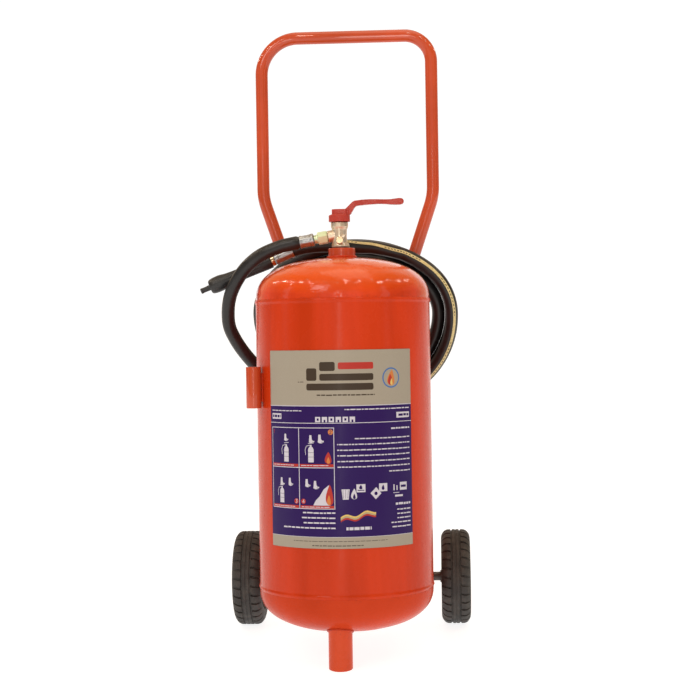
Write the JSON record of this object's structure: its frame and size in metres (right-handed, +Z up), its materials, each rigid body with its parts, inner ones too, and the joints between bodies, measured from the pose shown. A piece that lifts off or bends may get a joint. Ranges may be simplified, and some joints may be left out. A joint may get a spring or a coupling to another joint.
{
  "type": "wheeled fire extinguisher",
  "caption": "Wheeled dry-powder fire extinguisher: red cylinder on rear wheels and a front foot, tube push handle, ball valve with lever, coiled hose and nozzle.",
  "frame": {"origin": "on the floor, under the middle of the standing unit's box, measured without its hose", "axes": "+Z up, -Y to the front, where the label and the foot are, +Y to the rear, where the wheels and handle are, +X to the right as seen from the front; the cylinder leans 5.2 degrees back, towards +Y"},
  "size_m": [0.4424, 0.3886, 1.0138],
  "materials": {
    "red_paint": "gloss red oven enamel over mild steel, slight orange peel",
    "lever_enamel": "satin red enamel on a die casting",
    "brass": "machined and forged brass, slightly dulled",
    "yellow_zinc": "pale yellow chromated zinc plate on steel",
    "silver_zinc": "bright zinc plate on pressed steel",
    "bare_steel": "bare drawn steel bar, satin",
    "hose_rubber": "smooth black extruded rubber with a tan braid stripe",
    "tyre_rubber": "dull black solid rubber",
    "black_plastic": "black moulded plastic, fine satin",
    "nylon": "off-white moulded nylon",
    "ptfe": "white PTFE",
    "label_film": "printed self-adhesive vinyl film, beige and deep purple"
  },
  "bodies": {
    "frame": {"axle": "bare_steel", "axle_bracket_left": "red_paint", "axle_bracket_right": "red_paint", "barrel": "red_paint", "bottom_head": "red_paint", "foot_tube": "red_paint", "gland_nut": "brass", "handle_frame": "red_paint", "holder_tab": "red_paint", "hose_coil": "hose_rubber", "hose_ferrule": "silver_zinc", "hose_lead": "hose_rubber", "hose_tail": "hose_rubber", "hose_tailpiece": "yellow_zinc", "inlet_seat": "ptfe", "label": "label_film", "neck_collar": "red_paint", "neck_gasket": "hose_rubber", "nozzle_body": "black_plastic", "nozzle_ferrule": "silver_zinc", "nozzle_holder": "red_paint", "nozzle_tailpiece": "brass", "nozzle_tip": "black_plastic", "outlet_nipple": "brass", "outlet_seat": "ptfe", "relief_plug": "brass", "siphon_tube": "ptfe", "split_pin_left": "bare_steel", "split_pin_right": "bare_steel", "stem_packing": "ptfe", "swivel_nut": "yellow_zinc", "top_head": "red_paint", "valve_body": "brass", "washer_inner_left": "silver_zinc", "washer_inner_right": "silver_zinc", "washer_outer_left": "silver_zinc", "washer_outer_right": "silver_zinc"},
    "valve_lever": {"lever": "lever_enamel", "lever_nut": "silver_zinc", "valve_stem": "bare_steel", "valve_ball": "bare_steel"},
    "wheel_left": {"tyre_left": "tyre_rubber", "wheel_hub_left": "black_plastic", "wheel_bush_left": "nylon"},
    "wheel_right": {"tyre_right": "tyre_rubber", "wheel_hub_right": "black_plastic", "wheel_bush_right": "nylon"}
  },
  "joints": [
    {"name": "valve_lever_turn", "type": "hinge", "parent": "frame", "child": "valve_lever", "pos_m": [-0.003, -0.00243, 0.67201], "axis": [0, 0.0906, 0.9959], "range_deg": [-90, 0]},
    {"name": "wheel_left_spin", "type": "hinge", "parent": "frame", "child": "wheel_left", "pos_m": [-0.177, 0.11439, 0.08], "axis": [1, 0, 0], "continuous": true},
    {"name": "wheel_right_spin", "type": "hinge", "parent": "frame", "child": "wheel_right", "pos_m": [0.177, 0.11439, 0.08], "axis": [1, 0, 0], "continuous": true}
  ]
}
